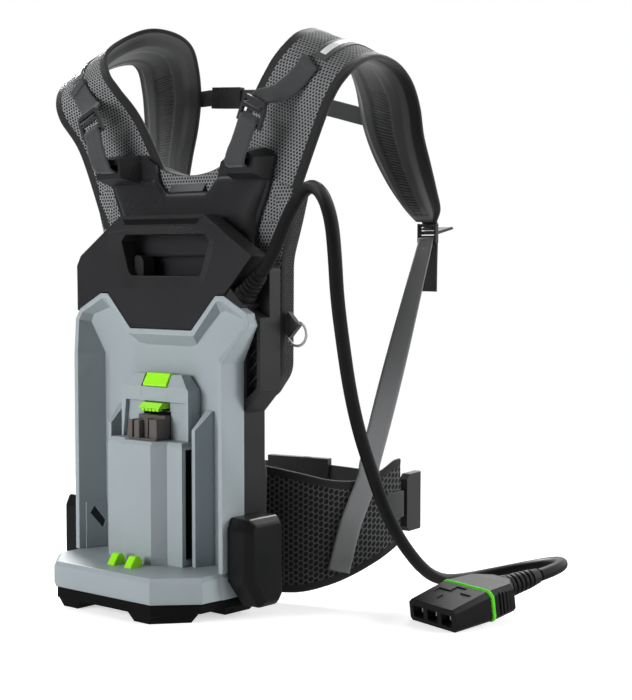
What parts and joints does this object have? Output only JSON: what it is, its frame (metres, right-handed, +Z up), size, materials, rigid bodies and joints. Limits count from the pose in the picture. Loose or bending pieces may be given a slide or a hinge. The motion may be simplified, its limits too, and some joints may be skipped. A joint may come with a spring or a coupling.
{
  "type": "backpack battery carrier",
  "caption": "Backpack carrier with a battery dock, carry handle, padded harness with hip and chest straps, and a power cable with plug.",
  "frame": {"origin": "on the floor that the feet stand on, in the middle plane of the dock, 30 mm ahead of the housing's back", "axes": "+Z up, -Y the side that the dock faces, +Y towards the wearer, +X the side that the cable leaves on"},
  "size_m": [0.593, 0.4343, 0.6631],
  "materials": {
    "black_housing": "fine moulded texture",
    "black_frame": "moulded, slightly glossy",
    "grey_shell": "fine moulded texture",
    "black_base": "moulded",
    "bumper": "moulded",
    "lime_parts": "moulded",
    "green_ring": "ribbed",
    "buckle_black": "moulded acetal",
    "webbing_black": "woven",
    "strap_mesh": "spacer mesh over foam",
    "pad_mesh": "spacer mesh over foam",
    "reflective": "retroreflective strip",
    "cable_black": "smooth sheath",
    "plug_black": "moulded",
    "steel": "polished wire",
    "brass": "plated",
    "board": "coated laminate"
  },
  "bodies": {
    "root": {"back_pad": "pad_mesh", "base_plate": "black_base", "base_screws": "steel", "belt_adjuster_left": "buckle_black", "belt_adjuster_right": "buckle_black", "belt_buckle_female": "buckle_black", "belt_webbing_left": "webbing_black", "belt_webbing_right": "webbing_black", "belt_wing_left": "pad_mesh", "belt_wing_right": "pad_mesh", "button_spring": "steel", "cable_gland": "cable_black", "circuit_board": "board", "contact_blades": "brass", "corner_guard_left": "bumper", "corner_guard_right": "bumper", "d_ring_tab": "webbing_black", "dock_tower": "grey_shell", "dock_tray": "grey_shell", "eject_spring_left": "steel", "eject_spring_right": "steel", "front_cover": "black_housing", "harness_yoke": "black_frame", "latch_spring": "steel", "lifter_webbing_lower_left": "webbing_black", "lifter_webbing_lower_right": "webbing_black", "lifter_webbing_upper_left": "webbing_black", "lifter_webbing_upper_right": "webbing_black", "lumbar_pad": "pad_mesh", "plug_boot": "cable_black", "plug_contacts": "brass", "plug_front_shell": "plug_black", "plug_rear_shell": "plug_black", "plug_ring": "green_ring", "power_cable": "cable_black", "pull_webbing_left": "webbing_black", "pull_webbing_right": "webbing_black", "rear_housing": "black_housing", "reflective_tape_left": "reflective", "reflective_tape_right": "reflective", "shoulder_strap_left": "strap_mesh", "shoulder_strap_right": "strap_mesh", "sternum_buckle_female": "buckle_black", "sternum_webbing_left": "webbing_black", "sternum_webbing_right": "webbing_black", "terminal_block": "black_housing", "vent_grille_left": "black_housing", "vent_grille_right": "black_housing"},
    "release_button": {"release_button": "lime_parts"},
    "latch_hook": {"latch_hook": "lime_parts"},
    "eject_pad_left": {"eject_pad_left": "lime_parts"},
    "eject_pad_right": {"eject_pad_right": "lime_parts"},
    "sternum_buckle_male": {"sternum_buckle_male": "buckle_black"},
    "belt_buckle_male": {"belt_buckle_male": "buckle_black"},
    "d_ring": {"d_ring": "steel"},
    "strap_lock_left": {"strap_lock_left": "buckle_black"},
    "strap_lock_right": {"strap_lock_right": "buckle_black"},
    "lifter_lock_left": {"lifter_lock_left": "buckle_black"},
    "lifter_lock_right": {"lifter_lock_right": "buckle_black"}
  },
  "joints": [
    {"name": "button_press", "type": "slide", "parent": "root", "child": "release_button", "axis": [0, 0, -1], "range_m": [0, 0.004], "stiffness_N_per_m": 600, "springref_m": -0.004, "deforming": ["button_spring"]},
    {"name": "latch_retract", "type": "slide", "parent": "root", "child": "latch_hook", "axis": [0, 1, 0], "range_m": [0, 0.005], "deforming": ["latch_spring"]},
    {"name": "eject_left", "type": "slide", "parent": "root", "child": "eject_pad_left", "axis": [0, 0, -1], "range_m": [0, 0.009], "stiffness_N_per_m": 400, "springref_m": -0.005, "deforming": ["eject_spring_left"]},
    {"name": "eject_right", "type": "slide", "parent": "root", "child": "eject_pad_right", "axis": [0, 0, -1], "range_m": [0, 0.009], "stiffness_N_per_m": 400, "springref_m": -0.005, "deforming": ["eject_spring_right"]},
    {"name": "sternum_release", "type": "slide", "parent": "root", "child": "sternum_buckle_male", "axis": [-0.9978, -0.0299, 0.0599], "range_m": [0, 0.0145], "deforming": ["sternum_webbing_left"]},
    {"name": "belt_release", "type": "slide", "parent": "root", "child": "belt_buckle_male", "axis": [-0.9837, -0.1799, 0], "range_m": [0, 0.02], "deforming": ["belt_webbing_left"]},
    {"name": "d_ring_swing", "type": "hinge", "parent": "root", "child": "d_ring", "pos_m": [0.149, 0.042, 0.309], "axis": [0.7071, 0, 0.7071], "range_deg": [-60, 60]},
    {"name": "strap_lock_tilt_left", "type": "hinge", "parent": "root", "child": "strap_lock_left", "pos_m": [-0.197, 0.2105, 0.422], "axis": [0.9743, 0.2251, 0], "range_deg": [0, 30], "deforming": ["pull_webbing_left"]},
    {"name": "lifter_lock_tilt_left", "type": "hinge", "parent": "root", "child": "lifter_lock_left", "pos_m": [-0.12847, -0.00012, 0.54418], "axis": [0.908, 0, 0.4191], "range_deg": [0, 25], "deforming": ["lifter_webbing_lower_left", "lifter_webbing_upper_left"]},
    {"name": "strap_lock_tilt_right", "type": "hinge", "parent": "root", "child": "strap_lock_right", "pos_m": [0.199, 0.21795, 0.4235], "axis": [0.9743, -0.2251, 0], "range_deg": [0, 30], "deforming": ["pull_webbing_right"]},
    {"name": "lifter_lock_tilt_right", "type": "hinge", "parent": "root", "child": "lifter_lock_right", "pos_m": [0.12847, -0.00012, 0.54418], "axis": [0.908, 0, -0.4191], "range_deg": [0, 25], "deforming": ["lifter_webbing_lower_right", "lifter_webbing_upper_right"]}
  ],
  "couplings": [
    {"joint": "latch_retract", "follows": "button_press", "ratio": 1.25}
  ]
}
